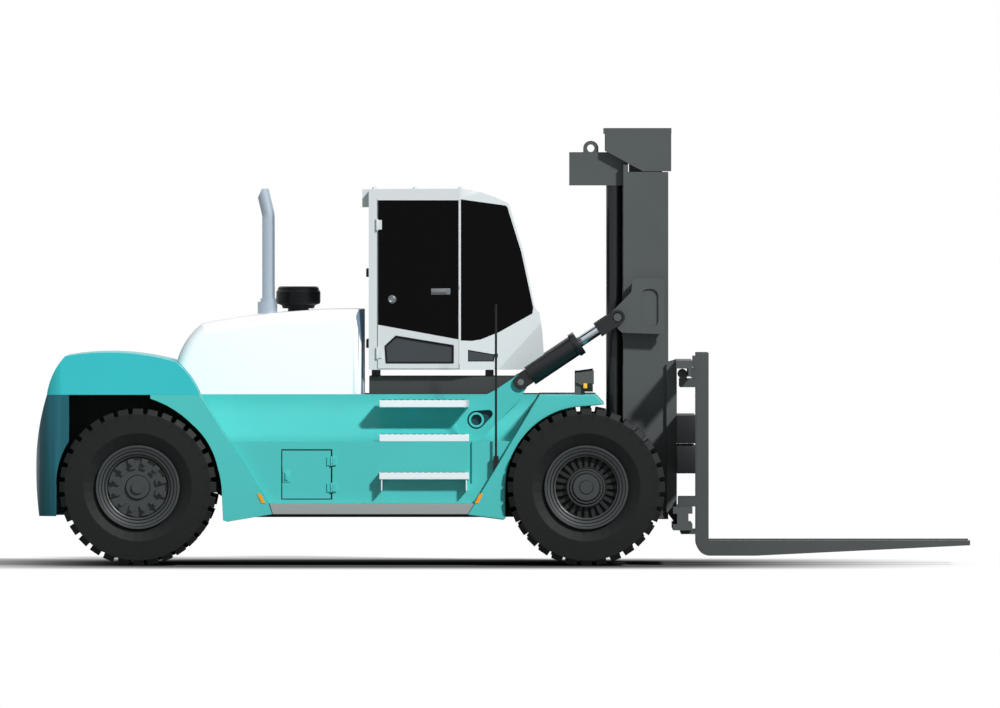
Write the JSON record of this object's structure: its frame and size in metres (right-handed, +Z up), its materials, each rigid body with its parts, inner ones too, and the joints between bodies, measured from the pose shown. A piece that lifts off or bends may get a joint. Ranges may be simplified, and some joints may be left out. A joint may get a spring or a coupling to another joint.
{
  "type": "heavy forklift",
  "caption": "Heavy counterbalance forklift with a two-stage mast, fork carriage, central cab, steered rear wheels and twin front tyres.",
  "frame": {"origin": "on the ground, on the centre line, at the middle of the overall length", "axes": "+X forward towards the fork tips, +Y to the truck's left, +Z up"},
  "size_m": [8.865, 3.166, 4.149],
  "materials": {
    "cap_paint": "satin turquoise paint",
    "body_paint": "satin turquoise paint",
    "frame_paint": "satin dark grey paint",
    "hood_paint": "satin white paint",
    "cab_paint": "satin light grey paint",
    "mast_paint": "satin grey paint",
    "black_paint": "satin black paint",
    "step_paint": "satin white paint",
    "sill_metal": "brushed",
    "cast": "painted casting",
    "rim_paint": "satin grey paint",
    "tyre": "black rubber",
    "glass_dark": "tinted",
    "exhaust_metal": "polished",
    "cleaner_plastic": "moulded black",
    "seat_fabric": "woven",
    "console_plastic": "moulded",
    "rod_chrome": "hard chrome",
    "barrel_paint": "satin black paint",
    "chain_steel": "oiled",
    "reflector": "moulded orange",
    "fork_paint": "satin grey paint"
  },
  "bodies": {
    "chassis": {"chassis_frame": "frame_paint", "frame_walls": "frame_paint", "frame_spine": "frame_paint", "frame_nose": "frame_paint", "upper_side_panels": "body_paint", "counterweight_lower": "body_paint", "counterweight_cap": "cap_paint", "engine_block": "cast", "hood": "hood_paint", "rear_fenders": "body_paint", "front_fenders": "body_paint", "side_boxes": "body_paint", "sills": "sill_metal", "steps": "step_paint", "cab_platform": "frame_paint", "cab_shell": "cab_paint", "cab_glass": "glass_dark", "cab_seat": "seat_fabric", "cab_console": "console_plastic", "exhaust_stack": "exhaust_metal", "air_precleaner": "cleaner_plastic", "tilt_arms": "body_paint", "fender_lamps": "mast_paint", "marker_poles": "black_paint", "drive_axle": "black_paint", "steer_axle": "black_paint", "reflectors": "reflector"},
    "mast_outer": {"mast_outer": "mast_paint", "tilt_brackets": "mast_paint", "lift_barrels": "barrel_paint"},
    "mast_inner": {"mast_inner": "mast_paint", "lift_rods": "rod_chrome", "chain_sheaves": "chain_steel", "chain_wraps": "chain_steel", "chain_front_runs": "chain_steel", "chain_rear_runs": "chain_steel"},
    "carriage": {"carriage": "mast_paint"},
    "knuckle_right": {"knuckle_right": "black_paint"},
    "rear_wheel_right": {"rear_tyre_right": "tyre", "rear_rim_right": "rim_paint"},
    "front_wheels_right": {"front_tyres_right": "tyre", "front_rims_right": "rim_paint"},
    "door_right": {"door_right": "cab_paint", "door_glass_right": "glass_dark"},
    "hatch_right": {"hatch_right": "body_paint"},
    "fork_right": {"fork_right": "fork_paint"},
    "tilt_barrel_right": {"tilt_barrel_right": "barrel_paint"},
    "tilt_rod_right": {"tilt_rod_right": "rod_chrome"},
    "knuckle_left": {"knuckle_left": "black_paint"},
    "rear_wheel_left": {"rear_tyre_left": "tyre", "rear_rim_left": "rim_paint"},
    "front_wheels_left": {"front_tyres_left": "tyre", "front_rims_left": "rim_paint"},
    "door_left": {"door_left": "cab_paint", "door_glass_left": "glass_dark"},
    "hatch_left": {"hatch_left": "body_paint"},
    "fork_left": {"fork_left": "fork_paint"},
    "tilt_barrel_left": {"tilt_barrel_left": "barrel_paint"},
    "tilt_rod_left": {"tilt_rod_left": "rod_chrome"}
  },
  "joints": [
    {"name": "steer_right", "type": "hinge", "parent": "chassis", "child": "knuckle_right", "pos_m": [-3.4665, -1, 0.745], "axis": [0, 0, 1], "range_deg": [-65, 65]},
    {"name": "rear_roll_right", "type": "hinge", "parent": "knuckle_right", "child": "rear_wheel_right", "pos_m": [-3.4665, -1.25, 0.745], "axis": [0, 1, 0], "continuous": true},
    {"name": "front_roll_right", "type": "hinge", "parent": "chassis", "child": "front_wheels_right", "pos_m": [0.7835, -1.114, 0.745], "axis": [0, 1, 0], "continuous": true},
    {"name": "steer_left", "type": "hinge", "parent": "chassis", "child": "knuckle_left", "pos_m": [-3.4665, 1, 0.745], "axis": [0, 0, 1], "range_deg": [-65, 65]},
    {"name": "rear_roll_left", "type": "hinge", "parent": "knuckle_left", "child": "rear_wheel_left", "pos_m": [-3.4665, 1.25, 0.745], "axis": [0, 1, 0], "continuous": true},
    {"name": "front_roll_left", "type": "hinge", "parent": "chassis", "child": "front_wheels_left", "pos_m": [0.7835, 1.114, 0.745], "axis": [0, 1, 0], "continuous": true},
    {"name": "mast_tilt", "type": "hinge", "parent": "chassis", "child": "mast_outer", "pos_m": [1.0655, 0, 0.6], "axis": [0, 1, 0], "range_deg": [-7, 5]},
    {"name": "mast_lift", "type": "slide", "parent": "mast_outer", "child": "mast_inner", "axis": [0, 0, 1], "range_m": [0, 2], "deforming": ["chain_rear_runs"]},
    {"name": "carriage_lift", "type": "slide", "parent": "mast_inner", "child": "carriage", "axis": [0, 0, 1], "range_m": [0, 2], "deforming": ["chain_front_runs"]},
    {"name": "fork_shift_right", "type": "slide", "parent": "carriage", "child": "fork_right", "axis": [0, -1, 0], "range_m": [-0.3, 0.45]},
    {"name": "tilt_swing_right", "type": "hinge", "parent": "chassis", "child": "tilt_barrel_right", "pos_m": [0.1625, -0.74, 1.735], "axis": [0, 1, 0], "range_deg": [-6.3, 4.5]},
    {"name": "tilt_stroke_right", "type": "slide", "parent": "tilt_barrel_right", "child": "tilt_rod_right", "axis": [0.8309, 0, 0.5564], "range_m": [-0.181, 0.13]},
    {"name": "door_swing_right", "type": "hinge", "parent": "chassis", "child": "door_right", "pos_m": [-1.2025, -0.772, 2.6], "axis": [0, 0, -1], "range_deg": [0, 80]},
    {"name": "hatch_swing_right", "type": "hinge", "parent": "chassis", "child": "hatch_right", "pos_m": [-1.6335, -1.382, 0.865], "axis": [0, 0, 1], "range_deg": [0, 95]},
    {"name": "fork_shift_left", "type": "slide", "parent": "carriage", "child": "fork_left", "axis": [0, 1, 0], "range_m": [-0.3, 0.45]},
    {"name": "tilt_swing_left", "type": "hinge", "parent": "chassis", "child": "tilt_barrel_left", "pos_m": [0.1625, 0.74, 1.735], "axis": [0, 1, 0], "range_deg": [-6.3, 4.5]},
    {"name": "tilt_stroke_left", "type": "slide", "parent": "tilt_barrel_left", "child": "tilt_rod_left", "axis": [0.8309, 0, 0.5564], "range_m": [-0.181, 0.13]},
    {"name": "door_swing_left", "type": "hinge", "parent": "chassis", "child": "door_left", "pos_m": [-1.2025, 0.772, 2.6], "axis": [0, 0, 1], "range_deg": [0, 80]},
    {"name": "hatch_swing_left", "type": "hinge", "parent": "chassis", "child": "hatch_left", "pos_m": [-1.6335, 1.382, 0.865], "axis": [0, 0, -1], "range_deg": [0, 95]}
  ],
  "couplings": [
    {"joint": "steer_left", "follows": "steer_right", "ratio": 1},
    {"joint": "carriage_lift", "follows": "mast_lift", "ratio": 1},
    {"joint": "tilt_swing_right", "follows": "mast_tilt", "ratio": 0.898},
    {"joint": "tilt_stroke_right", "follows": "mast_tilt", "m_per_rad": 1.48},
    {"joint": "tilt_swing_left", "follows": "mast_tilt", "ratio": 0.898},
    {"joint": "tilt_stroke_left", "follows": "mast_tilt", "m_per_rad": 1.48}
  ]
}
